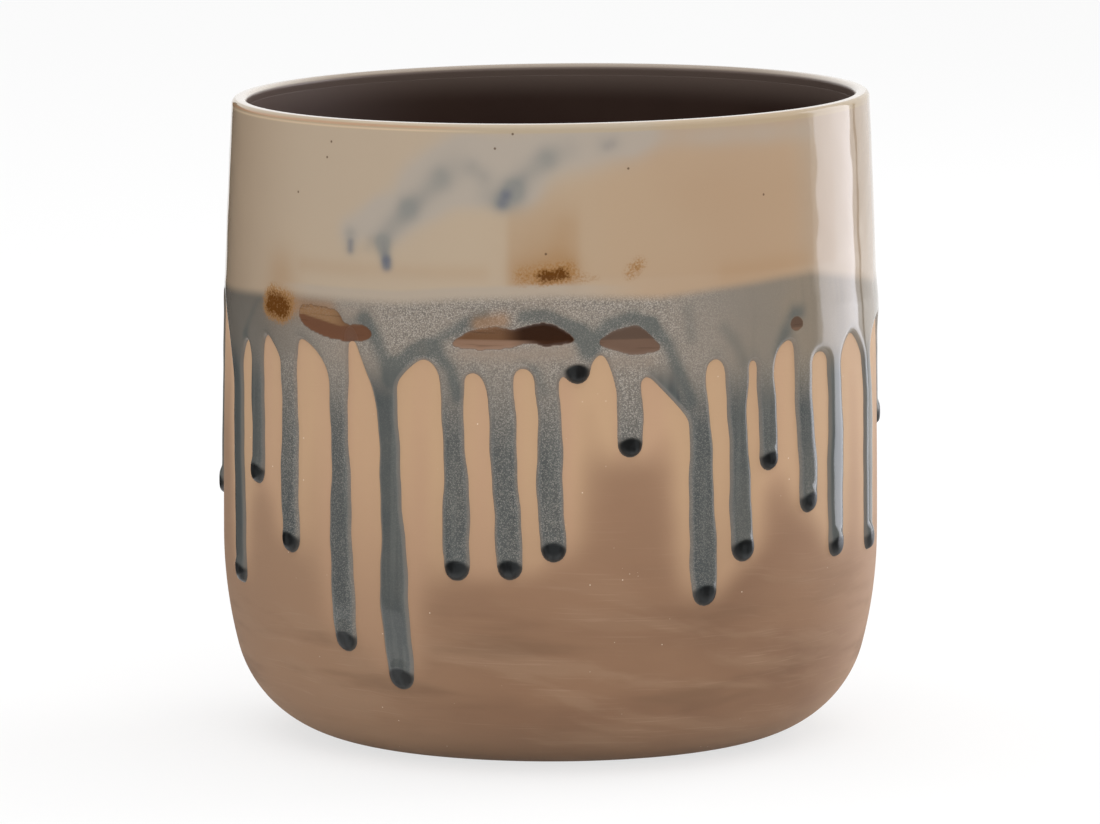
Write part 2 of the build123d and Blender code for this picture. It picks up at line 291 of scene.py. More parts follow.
def turned(name, radii, levels, columns, marks=None):
    """Closed solid turned about the axis from a half outline that starts and ends on the axis."""
    turns = np.arange(columns) * 360 / columns - 180
    R, T = np.meshgrid(radii[1:-1], turns, indexing="ij")
    L = np.repeat(np.asarray(levels)[1:-1, None], columns, 1)
    ring = placed(R, T, L)
    rows = len(radii) - 2
    index = np.arange(rows * columns).reshape(rows, columns)
    right = np.roll(index, -1, 1)
    quads = np.stack([index[:-1], right[:-1], right[1:], index[1:]], -1).reshape(-1, 4).tolist()
    first, last = rows * columns, rows * columns + 1
    caps = [[first, int(r), int(l)] for l, r in zip(index[0], right[0])]
    caps += [[last, int(l), int(r)] for l, r in zip(index[-1], right[-1])]
    ends = placed(np.zeros(2), np.zeros(2), np.array([levels[0], levels[-1]]))
    numbers = {key: np.append(value(T, L), [0, 0]) for key, value in (marks or {}).items()}
    return modelled(name, np.concatenate([ring.reshape(-1, 3), ends]), quads + caps, numbers)


lip_centre = clay_height - lip_roll


def over_lip(size, count):
    """Radii and levels of the way over the rolled lip, at a distance from the middle of its roll."""
    up, back_down = np.radians(np.linspace(0, 90, count)), np.radians(np.linspace(90, 180, count))
    outer, inner = skin(lip_centre) - lip_roll, skin(lip_centre, wall) + lip_roll
    return (np.append(outer + size * np.cos(up), inner + size * np.cos(back_down)),
            lip_centre + size * np.sin(np.append(up, back_down)))


heel_flat = float(skin(0))
ring_inner = heel_flat - foot_ring
outside = np.concatenate([np.linspace(0, 36, 90)[1:], np.arange(36.6, lip_centre, 0.8)])
inside = np.arange(lip_centre, floor_top, -1.2)[1:]
roll_r, roll_z = over_lip(lip_roll, 8)
radii = np.concatenate([[0], np.linspace(4, ring_inner - 0.6, 10), [ring_inner, ring_inner + 0.2],
                        np.linspace(ring_inner + 0.8, heel_flat, 4), skin(outside), roll_r,
                        skin(inside, wall, floor_top), np.linspace(60, 0, 14)])
levels = np.concatenate([np.full(11, foot_recess), [foot_recess - 0.3, 0.25], np.zeros(4), outside, roll_z,
                         inside, np.full(14, floor_top)])


def folded(bearing):
    """How far sideways a bearing is: 1 at the right, -1 at the left, 0 in front and behind."""
    return np.sign(bearing) * np.minimum(np.abs(bearing), 180 - np.abs(bearing)) / 90


def sampled(values, bearing, height):
    """Values of a lattice field at other bearings and heights."""
    i = np.clip((height - heights[0]) / (heights[1] - heights[0]), 0, len(heights) - 1.001)
    j = ((bearing + 180) % 360) / step
    i0, j0 = i.astype(int), j.astype(int) % len(bearings)
    di, dj, j1 = i - i0, j - j.astype(int), (j0 + 1) % len(bearings)
    return ((values[i0, j0] * (1 - dj) + values[i0, j1] * dj) * (1 - di)
            + (values[i0 + 1, j0] * (1 - dj) + values[i0 + 1, j1] * dj) * di)


near = blurred(cover, 7.0, 5.0)
body = turned("stoneware_shell", radii, levels, 900, {
    "near": lambda T, L: sampled(near, T, L) * (L > sheet_foot),
    "level": lambda T, L: L / pot_height,
    "side": lambda T, L: folded(T),
})


class Socket:
    """A node's output that can be used in sums, each of which becomes a Math node."""

    def __init__(self, paint, link):
        self.paint, self.link = paint, link

    def sum_of(self, operation, *values):
        return self.paint.node("ShaderNodeMath", {"operation": operation}, *values)

    def __add__(self, other): return self.sum_of("ADD", self, other)
    def __radd__(self, other): return self.sum_of("ADD", other, self)
    def __sub__(self, other): return self.sum_of("SUBTRACT", self, other)
    def __rsub__(self, other): return self.sum_of("SUBTRACT", other, self)
    def __mul__(self, other): return self.sum_of("MULTIPLY", self, other)
    def __rmul__(self, other): return self.sum_of("MULTIPLY", other, self)
    def larger(self, other): return self.sum_of("MAXIMUM", self, other)
    def smaller(self, other): return self.sum_of("MINIMUM", self, other)

    def ramp(self, low, high):
        """Soft step of this value from 0 at low to 1 at high."""
        settings = {"interpolation_type": "SMOOTHSTEP", "clamp": True}
        return self.paint.node("ShaderNodeMapRange", settings, self, low, high)


class Paint:
    """The nodes of one material, or of the studio's world."""

    def __init__(self, name, world=None, **constants):
        self.material = world or bpy.data.materials.new(name)
        self.material.use_nodes = True
        self.tree = self.material.node_tree
        self.shader = self.tree.nodes["Background" if world else "Principled BSDF"]
        for socket, value in constants.items():
            self.shader.inputs[socket.replace("_", " ")].default_value = value

    def node(self, kind, settings, *values, output=0, **named):
        """Any node: its settings first, then the values or links of its sockets."""
        made = self.tree.nodes.new(kind)
        for key, value in settings.items():
            setattr(made, key, value)
        named = {key.replace("_", " "): value for key, value in named.items()}
        for key, value in [*enumerate(values), *named.items()]:
            if isinstance(value, Socket):
                self.tree.links.new(value.link, made.inputs[key])
            elif value is not None:
                made.inputs[key].default_value = value
        return Socket(self, made.outputs[output])

    def mark(self, name):
        """A value that the mesh carries at each of its points."""
        return self.node("ShaderNodeAttribute", {"attribute_name": name}, output=2)

    def place(self, stretch=(1, 1, 1), shift=0.0):
        """The point on the piece, stretched and shifted, for patterns."""
        at = self.node("ShaderNodeTexCoord", {}, output=3)
        return self.node("ShaderNodeVectorMath", {"operation": "MULTIPLY_ADD"}, at, stretch, [shift] * 3)

    def axes(self):
        """The point on the piece as three numbers: to the right, away from the front, and up."""
        parts = self.node("ShaderNodeSeparateXYZ", {}, self.place()).link.node.outputs
        return [Socket(self, part) for part in parts]

    def noise(self, scale, detail=2.0, stretch=(1, 1, 1), shift=0.0):
        return self.node("ShaderNodeTexNoise", {}, self.place(stretch, shift), Scale=scale, Detail=detail)

    def grains(self, scale, shift=0.0):
        """Distance from the middle of each grain, and the grain's own chance number."""
        at = self.place(shift=shift)
        chance = self.node("ShaderNodeTexVoronoi", {}, at, Scale=scale, output=1)
        return (self.node("ShaderNodeTexVoronoi", {}, at, Scale=scale),
                self.node("ShaderNodeSeparateColor", {}, chance))

    def mix(self, share, one, other):
        """Colour between one and other."""
        unused = [None] * 5
        return self.node("ShaderNodeMix", {"data_type": "RGBA"}, share, *unused, one, other, output=2)

    def finish(self, base, height, bump, depth, roughness=None):
        """The material with its colour, its fine relief and, where that changes, its roughness."""
        relief = self.node("ShaderNodeBump", {}, bump, depth, Height=height)
        for value, socket in ((base, "Base Color"), (roughness, "Roughness"), (relief, "Normal")):
            if value is not None:
                self.tree.links.new(value.link, self.shader.inputs[socket])
        return self.material


def srgb(red, green, blue):
    """Linear colour from its 8-bit sRGB values."""
    return (*[c / 12.92 if c <= 0.04045 else ((c + 0.055) / 1.055) ** 2.4
              for c in (red / 255, green / 255, blue / 255)], 1.0)


paint = Paint("bare_stoneware", Roughness=0.75, Specular_IOR_Level=0.3)
side, level = paint.mark("side"), paint.mark("level")
broad = paint.noise(17.0, 3.0, stretch=(1, 1, 2.2), shift=7.0)
halo = paint.mark("near") * 2.6 + (paint.noise(30.0, 3.0) - 0.5) * 0.3 + (level - 0.42) * 1.3
high_up = level + (broad - 0.5) * 0.1 + paint.mark("near") * 0.1
pale = halo.ramp(-0.05, 0.95).larger(high_up.ramp(0.44, 0.66))
brown = paint.mix(broad.ramp(0.32, 0.68), srgb(129, 98, 76), srgb(143, 110, 85))
brown = paint.mix(level.ramp(0.2, 0.4) * 0.6, brown, srgb(154, 120, 94))
# Painted light: the bare clay is painted lighter over its left side and, more, towards its right edge.
brown = paint.mix(side.ramp(-0.05, -0.45) * 0.8, brown, srgb(157, 125, 99))
brown = paint.mix(side.ramp(0.55, 0.9) * 0.6, brown, srgb(188, 156, 132))
sideways, deep, tall = paint.axes()
slant = paint.node("ShaderNodeCombineXYZ", {}, sideways * 45.0, deep * 45.0,
                   (tall + sideways * 0.14 * (broad - 0.35)) * 1500.0)
scratch = paint.node("ShaderNodeTexNoise", {}, slant, Scale=1.0, Detail=2.0)
smear = paint.node("ShaderNodeCombineXYZ", {}, sideways * 26.0, deep * 26.0, (tall + sideways * 0.18) * 120.0)
wiped = paint.node("ShaderNodeTexNoise", {}, smear, Scale=1.0, Detail=4.0, Distortion=0.4)
low_down = 1 - level.ramp(0.16, 0.42)
brown = paint.mix(wiped.ramp(0.46, 0.66) * low_down * 0.5, brown, srgb(156, 126, 101))
scraped = scratch.ramp(0.56, 0.72) * (0.3 + 0.7 * low_down) * wiped.ramp(0.35, 0.6)
brown = paint.mix(scraped * 0.3, brown, srgb(172, 142, 118))
drag = paint.noise(1.0, 4.0, stretch=(16, 16, 95), shift=12.0)
brown = paint.mix(drag.ramp(0.5, 0.7) * low_down * 0.5, brown, srgb(120, 92, 70))
brown = paint.mix((1 - level.ramp(0.02, 0.1)) * 0.5, brown, srgb(158, 129, 103))
streaks = paint.noise(1.0, 2.0, stretch=(70, 70, 4))
peach = paint.mix(streaks.ramp(0.35, 0.65), srgb(188, 152, 122), srgb(190, 156, 123))
peach = paint.mix(1 - level.ramp(0.16, 0.52), peach, srgb(166, 132, 105))
# Painted light: the peach clay is painted lighter towards its right edge too.
peach = paint.mix(side.ramp(0.45, 0.9) * 0.5, peach, srgb(188, 160, 134))
clay = paint.mix(pale, brown, peach)
far, chance = paint.grains(420.0)
sown = paint.noise(25.0, 1.0, shift=2.0).ramp(0.4, 0.6)
dots = (1 - far.ramp(0.05, 0.11)) * chance.ramp(0.87, 0.875) * sown
clay = paint.mix(dots * 0.9, clay, srgb(232, 215, 194))
fine = paint.noise(1500.0, 3.0)
body.data.materials.append(paint.finish(clay, height=fine + scratch * 2.0, bump=0.22, depth=0.00006))
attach(body, "root")
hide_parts("stoneware_body")

# Liner: the dark brown coat that makes the inside watertight. It was poured in, swilled round and poured
# out again, so it lies thin and even over floor and wall up to the lip.
wrap_bottom = clay_height - lip_roll - 1.8
liner_sunk, floor_edge, rings = 0.1, 58, 12
bed_skin, top_skin = (wall - liner_sunk, floor_top - liner_sunk), (wall + liner_coat, floor_top + liner_coat)
up_in = np.arange(floor_top + 0.2, wrap_bottom, 1.6)
liner_rim = np.array([wrap_bottom, wrap_bottom - 0.06])
radii = np.concatenate([[0], np.linspace(6, floor_edge, rings), skin(up_in, *bed_skin),
                        skin(liner_rim[::-1], *bed_skin), skin(liner_rim, *top_skin),
                        skin(up_in[::-1] + liner_coat, *top_skin), np.linspace(floor_edge, 0, rings + 1)])
levels = np.concatenate([np.full(rings + 1, bed_skin[1]), up_in, liner_rim[::-1], liner_rim,
                         up_in[::-1] + liner_coat, np.full(rings + 1, top_skin[1])])
liner = turned("liner_coat", radii, levels, 360)
paint = Paint("liner_brown", Roughness=0.35, Specular_IOR_Level=0.5)
brown = paint.mix(paint.noise(22.0, 4.0).ramp(0.3, 0.7), srgb(51, 35, 29), srgb(57, 41, 34))
sideways, _, tall = paint.axes()
# Painted light: the inside is painted lighter near the lip, where light falls in, and has a painted sheen on
# its upper left.
brown = paint.mix(tall.ramp(0.184, 0.196), brown, srgb(110, 95, 87))
painted_sheen = (sideways * -10.0).ramp(0.3, 0.95) * tall.ramp(0.155, 0.188)
brown = paint.mix(painted_sheen * 0.5, brown, srgb(122, 106, 101))
liner.data.materials.append(paint.finish(brown, height=paint.noise(260.0, 3.0), bump=0.2, depth=0.0001))
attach(liner, "root")
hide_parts("liner_glaze")

# Upper coat: cream gloss glaze over the outer wall and the rolled lip, with the blue-grey clouds and the
# rust spots that the iron and cobalt in the two dips left where they ran together.
seam = heights[np.searchsorted(heights, 147.9)]
outer_roll, roll_steps, coat_sunk = lip_roll + coat, 12, 0.25
climb = np.linspace(seam, lip_centre, 90)
down = np.linspace(lip_centre, wrap_bottom, 5)[1:]
inner_coat = np.linspace(coat, liner_coat - 0.02, 5)[1:]
roll_r, roll_z = over_lip(outer_roll, roll_steps)
path_r = np.concatenate([skin(climb) + coat, roll_r[1:], skin(down, wall) - inner_coat])
path_z = np.concatenate([climb, roll_z[1:], down])
roll_r, roll_z = over_lip(lip_roll - coat_sunk, roll_steps)
bed_r = np.concatenate([skin(climb) - coat_sunk, roll_r[1:], skin(down, wall - coat_sunk)])
bed_z = np.concatenate([climb, roll_z[1:], down])
turns = bearings[::2]
T, path_radius = np.meshgrid(turns, path_r)
path_level = np.repeat(path_z[:, None], len(turns), 1)
extra = sampled(thickness, T, np.minimum(path_level, heights[-1])) - coat
extra = extra * (path_level <= heights[-2]) + ripple(T, path_level) * (path_level > heights[-2])
upper_points = placed(path_radius + extra, T, path_level)
upper_back = placed(bed_r[:, None] + 0 * T, T, np.repeat(bed_z[:, None], len(turns), 1))


def lattice_piece(name, cells, outer, inner, normals, marks):
    """Closed mesh of the marked lattice cells: an outer face, an inner face, and walls round their edges."""
    rows, columns = outer.shape[:2]
    index = np.arange(rows * columns).reshape(rows, columns)
    right = np.roll(index, -1, 1)
    a, b, c, d = index[:-1], right[:-1], right[1:], index[1:]
    total = rows * columns
    quads = [np.stack([a, b, c, d], -1)[cells], np.stack([a, d, c, b], -1)[cells] + total]
    blank = np.zeros((1, columns), bool)
    for other, (p, q) in ((np.vstack([blank, cells[:-1]]), (a, b)), (np.vstack([cells[1:], blank]), (c, d)),
                          (np.roll(cells, 1, 1), (d, a)), (np.roll(cells, -1, 1), (b, c))):
        lone = cells & ~other
        quads.append(np.stack([q[lone], p[lone], p[lone] + total, q[lone] + total], -1))
    used, quads = np.unique(np.concatenate(quads), return_inverse=True)
    points = np.concatenate([outer.reshape(-1, 3), inner.reshape(-1, 3)])[used]
    both = {key: np.tile(values.reshape(-1), 2)[used] for key, values in marks.items()}
    piece = modelled(name, points, quads.reshape(-1, 4).tolist(), both)
    ways = np.concatenate([normals.reshape(-1, 3), -normals.reshape(-1, 3)])[used]
    piece.data.normals_split_custom_set_from_vertices(ways.tolist())
    return piece


degree_length = 1.72


def stroke(weight, width, *points):
    """A soft brush line through points of bearing and height: its strength at any bearing and height."""
    def strength(bearing, height):
        nearest = np.full(np.shape(bearing), 1e9)
        for (b1, z1), (b2, z2) in zip(points, points[1:]):
            x, y = (bearing - b1) * degree_length, height - z1
            dx, dy = (b2 - b1) * degree_length, z2 - z1
            t = np.clip((x * dx + y * dy) / (dx * dx + dy * dy + 1e-9), 0, 1)
            nearest = np.minimum(nearest, np.hypot(x - t * dx, y - t * dy))
        return weight * np.exp(-0.5 * (nearest / width) ** 2)
    return strength


def haze(weight, left, right, low, high, soft):
    """A soft upright patch between two bearings and two heights."""
    def strength(bearing, height):
        between = smooth(bearing, left - 1, left + 1) * (1 - smooth(bearing, right - 1, right + 1))
        return weight * between * smooth(height, low - 1, low + 1) * (1 - smooth(height, high - soft, high))
    return strength


# Strokes of each mark, by strength, width in millimetres, and points. The back has a few of its own.
back_bearings = [(row[0] + 180) % 360 - 180 for row in other_runs[::2]]
brushed = {
    "mist": [stroke(0.9, 6.5, (-22, 178), (-14.2, 186), (-8.8, 186), (-2, 188), (6, 190), (13, 193)),
             stroke(0.8, 5.0, (-16.8, 181), (-22.5, 174), (-28.5, 166)),
             stroke(0.7, 4.0, (-36.8, 163), (-31, 168)),
             stroke(0.8, 5.0, (-12, 178), (-5, 177)), stroke(0.45, 3.5, (15, 192), (26, 191), (52, 190)),
             stroke(0.8, 6.0, (148, 174), (162, 183), (176, 186)),
             stroke(0.7, 5.0, (-130, 171), (-118, 180))],
    "cloud": [stroke(0.9, 1.7, (-29.5, 153.6), (-30.3, 159.5)),
              stroke(0.6, 3.0, (-30.2, 161), (-28.4, 165), (-25.6, 170)),
              stroke(0.52, 3.2, (-25, 171), (-22.3, 175), (-19.4, 179.4)),
              stroke(0.3, 4.0, (-19, 181), (-17.0, 184)),
              stroke(0.4, 2.6, (-13.5, 183), (-11.6, 180.8)), stroke(0.34, 3.2, (-11, 174.5), (-6, 173.0)),
              stroke(0.75, 2.4, (-8.2, 173.2), (-6.5, 176.8)),
              stroke(0.55, 3.1, (-6, 178), (-4.0, 181.3), (-1.0, 185.6)),
              stroke(0.36, 3.2, (0, 186.6), (3.4, 188.7)), stroke(0.42, 2.6, (9.4, 189.6), (10.8, 190.2)),
              stroke(0.55, 2.1, (-37.0, 157.6), (-37.1, 161.6)),
              stroke(0.3, 1.6, (-33.4, 157.9), (-33.0, 160.2)),
              stroke(0.6, 2.8, (151, 166), (156, 173), (163, 180)),
              stroke(0.5, 2.6, (-128, 167), (-121, 175))],
    "deep": [stroke(0.9, 1.4, (-29.4, 152.9), (-29.5, 154.2)), stroke(0.4, 1.1, (-29.6, 155), (-30.2, 159.6)),
             stroke(0.8, 1.6, (-8.3, 172.8), (-7.8, 174.8)), stroke(0.3, 1.5, (-7.2, 176), (-4.6, 180.4)),
             stroke(0.65, 1.1, (-37.0, 157.0), (-37.0, 159.4)),
             stroke(0.22, 2.2, (-25.4, 170.5), (-22.6, 174)),
             stroke(0.4, 1.5, (10.0, 189.2), (10.7, 189.8)), stroke(0.2, 1.5, (-11.9, 181.4), (-11.2, 180.4)),
             stroke(0.8, 1.4, (150.6, 163.8), (151, 165.6)),
             stroke(0.6, 1.3, (-128.6, 165.4), (-128.2, 166.8))],
    "rust": [stroke(0.95, 1.35, (-1.2, 151.0), (2.2, 151.5)), stroke(0.42, 2.8, (-4.6, 151.0), (3.0, 153.0)),
             stroke(0.45, 2.0, (13.9, 151.8), (15.4, 154.2)), stroke(0.24, 1.5, (5.4, 150.2), (8, 150.6)),
             stroke(1.2, 2.6, (-57.0, 137.9), (-53.6, 137.0)),
             stroke(0.45, 3.6, (-56.5, 139.5), (-52, 138.5)),
             stroke(0.8, 1.4, (-151, 150.6), (-148, 151)), stroke(0.4, 2.6, (-154, 150.6), (-145, 152)),
             stroke(0.5, 1.9, (119, 150.6), (121.4, 152.6))],
    "amber": [haze(0.4, -7.4, 4.8, 146, 186, 32), stroke(0.24, 8.0, (-1.4, 154), (-1.4, 172)),
              stroke(0.4, 3.4, (-4.5, 152), (3, 153)), stroke(0.2, 3.0, (1.6, 156), (2.6, 166)),
              stroke(0.5, 5.5, (-55, 142), (-54.5, 147)), haze(0.12, 4.6, 60, 150, 188, 16),
              stroke(0.22, 2.0, (-48, 151), (-12, 151.6)), stroke(0.25, 2.6, (32, 150), (50, 151.5)),
              stroke(1.0, 2.4, (-52, 139), (-42, 138.6)), stroke(1.15, 1.7, (-12.2, 136.8), (-8.4, 137.9))],
    "teal": [stroke(0.8, 2.2, (-33.5, 137), (-31, 130.5), (-28.4, 121)),
             stroke(0.9, 1.9, (-28.2, 118.5), (-26.8, 124), (-24.0, 128)),
             stroke(0.95, 1.8, (-22, 129), (-19.2, 127.6), (-17.2, 123.2), (-15.9, 115)),
             stroke(0.75, 1.7, (-21.5, 129.6), (-17.8, 133.4), (-14.6, 137.0), (-11.6, 139.4)),
             stroke(0.9, 1.5, (-4.6, 139.4), (-0.6, 139.8), (2.6, 137.2), (5.0, 133.6)),
             stroke(0.5, 1.6, (-2.6, 123), (-1.0, 117)), stroke(0.85, 2.2, (5.2, 135), (6.2, 128.6)),
             stroke(0.8, 1.8, (7.0, 131), (9.6, 136.6), (14.2, 138.9), (17, 136.4)),
             stroke(0.85, 1.9, (17.6, 136.0), (20.4, 130), (21.6, 124.5), (24.6, 113)),
             stroke(0.45, 1.4, (-67, 126.3), (-63.2, 135.2), (-61, 139.3)),
             stroke(0.45, 2.2, (31, 134), (33.4, 129), (34.9, 123.5)),
             stroke(0.5, 2.2, (42.4, 125.5), (44.2, 131.5), (46.6, 137.0), (48.6, 137)),
             stroke(0.45, 2.0, (24, 140), (24.6, 132)),
             *[stroke(0.6, 2.0, (bearing - 1, 134), (bearing, 117)) for bearing in back_bearings]],
    "ash": [stroke(1.0, 2.3, (-14.5, 128.2), (-5.2, 127.6), (2.6, 128.6)),
            stroke(0.7, 2.0, (10, 125.6), (17, 125.4)),
            stroke(0.7, 2.4, (-42, 136), (-34, 136.6)), stroke(0.5, 2.6, (-37.5, 127.2), (-34.5, 123.6))],
}
soft_frost = blurred(frost, 0.6)


def glaze_marks(bearing, height, lip):
    """Values that the glaze paint reads, at bearings and heights."""
    on_sheet = height <= heights[-1]
    level = np.minimum(height, heights[-1])
    top = np.interp(bearing, bearings, wide)
    band_frost = np.interp(bearing, (-180, -140, -110, -66, -48, -36, -28, 18, 25, 34, 110, 140, 180),
                           (0.7, 0.6, 0.1, 0.0, 0.25, 0.6, 1.0, 1.0, 0.5, 0.06, 0.05, 0.5, 0.7))
    band_foot = 126
    below = smooth(band_foot - height, 0, 6)
    frosted = sampled(soft_frost, bearing, level)
    ledge = np.interp(bearing, (-48, -44, -39, -32, -20, 6), (136.2, 135.2, 133.8, 134.6, 131.9, 132.1))
    marks = {
        "grey": sampled(grey, bearing, level) * on_sheet,
        "overlap": smooth(top + 5.2 - height, 0, 1.6) * np.interp(bearing, (-56, -46, 2, 16), (0, 1, 1, 0)),
        "fingers": smooth(band_foot + 1 - height, 0, 12 + 26 * frosted) * on_sheet,
        "thin": (1 - sampled(np.clip(field, 0, 1), bearing, level)) * on_sheet,
        "heart": sampled(heart, bearing, level) * on_sheet,
        "frost": (frosted * below + band_frost * (1 - below)) * on_sheet,
        "bead": sampled(bead, bearing, level) * on_sheet,
        "rim": sampled(rim, bearing, level) * on_sheet,
        "eaves": sampled(eaves, bearing, level) * on_sheet,
        "window": sampled(window, bearing, level) * on_sheet,
        "ledge": smooth(ledge - height, -0.3, 0.3),
        "side": folded(bearing),
        "behind": np.abs(bearing) / 90,
        "lip": lip,
    }
    for mark, strokes in brushed.items():
        marks[mark] = np.clip(sum(strength(bearing, height) for strength in strokes), 0, 1.3)
    return marks


# The way that each ring of the coat is past the start of the roll: below 0 on the wall outside.
roll_length = outer_roll * math.pi / 2
lip_mark = np.concatenate([climb - lip_centre, np.linspace(0, roll_length, roll_steps)[1:],
                           np.linspace(roll_length, 2 * roll_length, roll_steps),
                           2 * roll_length + lip_centre - down])
upper = lattice_piece("cream_coat", np.ones((len(path_r) - 1, len(turns)), bool), upper_points, upper_back,
                      outward(upper_points),
                      glaze_marks(T, path_level, np.repeat(lip_mark[:, None], len(turns), 1)))
# Pinholes that bubbles left in the cream as they burst, by bearing and height.
pinholes = [(-42.0, 189.1), (-42.9, 184.3), (-50.1, 172.9), (-6.6, 193.2), (-9.7, 188.9), (-0.8, 157.7),
            (13.6, 182.5), (40.2, 172.4), (118.0, 176.0), (163.0, 184.0), (-131.0, 169.0)]


def outer_glaze(name, pinholes=()):
    """Paint of the outer glaze: cream above, grey in the band, slate in the runs and black in the beads."""
    paint = Paint(name, Specular_IOR_Level=0.33)
    side, heart, lip, fingers = (paint.mark(key) for key in ("side", "heart", "lip", "fingers"))
    beads, thin, teal, ash = (paint.mark(key) for key in ("bead", "thin", "teal", "ash"))
    rust, amber, ledge = (paint.mark(key) for key in ("rust", "amber", "ledge"))
    gold, above_ledge = amber.smaller(1.0), 1 - ledge
    wander = paint.noise(34.0, 3.0)
    grain = paint.noise(1500.0, 2.0)
    soft_grain = paint.noise(120.0, 3.0, shift=4.0)
    # Cream with its amber haze, mist, blue clouds and rust.
    cream = paint.mix(side.ramp(-0.02, 0.13), srgb(179, 161, 140), srgb(176, 150, 124))
    # Painted shade: the cream is painted darker towards the left edge.
    cream = paint.mix(side.ramp(-0.5, -0.85), cream, srgb(168, 148, 126))
    cream = paint.mix(paint.noise(13.0, 2.0, shift=5.0).ramp(0.4, 0.7) * 0.4, cream, srgb(184, 164, 139))
    cream = paint.mix(side.ramp(0.5, 0.62) * 0.5, cream, srgb(166, 154, 140))
    warm = amber * (0.75 + 0.5 * wander)
    cream = paint.mix(warm.smaller(1.0) * 0.8, cream, srgb(160, 123, 84))
    misty = paint.mark("mist") * (0.5 + wander)
    cream = paint.mix(misty.ramp(0.05, 0.85) * 0.85, cream, srgb(170, 160, 149))
    smoke = paint.mark("cloud") * (0.75 + 0.2 * wander + 0.35 * soft_grain)
    cream = paint.mix(smoke.ramp(0.0, 1.1) * 0.8, cream, srgb(128, 129, 125))
    cobalt = paint.mark("deep") * (0.7 + 0.6 * soft_grain)
    cream = paint.mix(cobalt.ramp(0.05, 1.2) * 0.85, cream, srgb(97, 101, 113))
    cream = paint.mix(paint.mark("overlap") * 0.85, cream, srgb(172, 158, 142))
    # Grey band, its pale frost and its dark rims, and the slate of the runs.
    # Painted shade: the grey band is painted darker towards the left edge.
    grey = paint.mix(side.ramp(-0.72, -0.42), srgb(108, 102, 94), srgb(140, 130, 119))
    grey = paint.mix(side.ramp(0.28, 0.5), grey, srgb(137, 125, 110))
    grey = paint.mix(wander.ramp(0.4, 0.7) * 0.4, grey, srgb(124, 119, 112))
    grey = paint.mix((ash * 0.85).smaller(0.9), grey, srgb(149, 134, 120))
    piled = (paint.mark("rim") * 0.45 + teal + paint.mark("eaves") * 0.3) * (0.7 + 0.6 * soft_grain)
    grey = paint.mix(piled.ramp(0.04, 1.0) * 0.85, grey, srgb(88, 93, 91))
    drawn = paint.noise(1.0, 3.0, stretch=(90, 90, 14), shift=6.0)
    grey = paint.mix(drawn.ramp(0.5, 0.75) * 0.35, grey, srgb(112, 106, 98))
    slate = paint.mix(wander.ramp(0.3, 0.7), srgb(78, 82, 82), srgb(92, 93, 90))
    margin = paint.mix(wander.ramp(0.3, 0.7), srgb(108, 108, 104), srgb(98, 102, 102))
    slate = paint.mix(heart.ramp(0.1, 0.5), margin, slate)
    threads = paint.noise(1.0, 2.0, stretch=(420, 420, 22))
    slate = paint.mix(threads.ramp(0.45, 0.7) * 0.35, slate, srgb(112, 114, 110))
    grey = paint.mix(fingers, grey, slate)
    far, chance = paint.grains(2300.0)
    finer_far, finer_chance = paint.grains(3300.0, shift=0.4)
    patches = paint.noise(70.0, 2.0, shift=9.0).ramp(0.15, 0.45)
    frosty = paint.mark("frost") * (1.2 - 0.5 * heart * fingers) * patches
    frosty = frosty * (1 - 0.75 * teal.smaller(1.0)) * (1 - beads) * (1 - 0.7 * ash.smaller(1.0))
    dots = (1 - far.ramp(0.2, 0.6)) * chance.ramp(0.2, 0.6)
    dots = dots + (1 - finer_far.ramp(0.2, 0.6)) * finer_chance.ramp(0.4, 0.8)
    grey = paint.mix(dots.smaller(1.0) * frosty * 0.52, grey, srgb(190, 182, 172))
    grey = paint.mix(far.ramp(0.5, 0.8) * frosty * 0.4, grey, srgb(88, 86, 84))
    grey = paint.mix(thin.ramp(0.35, 0.95) * 0.5, grey, srgb(132, 120, 108))
    pitted = paint.noise(1.0, 2.0, stretch=(330, 330, 120), shift=3.0)
    dark = paint.mix(pitted.ramp(0.42, 0.6), srgb(37, 39, 40), srgb(17, 18, 19))
    grey = paint.mix(beads * 0.97, grey, dark)
    grey = paint.mix(gold * 0.6, grey, srgb(156, 118, 84))
    glass = paint.mix(paint.mark("grey"), cream, grey)
    rusty = rust * (0.35 + 1.3 * grain) + (grain - 0.5) * 0.7 * rust.ramp(0.05, 0.4)
    glass = paint.mix(rusty.ramp(0.12, 0.62) * 0.8, glass, srgb(154, 112, 66))
    glass = paint.mix(rusty.ramp(0.45, 1.25), glass, srgb(98, 60, 24))
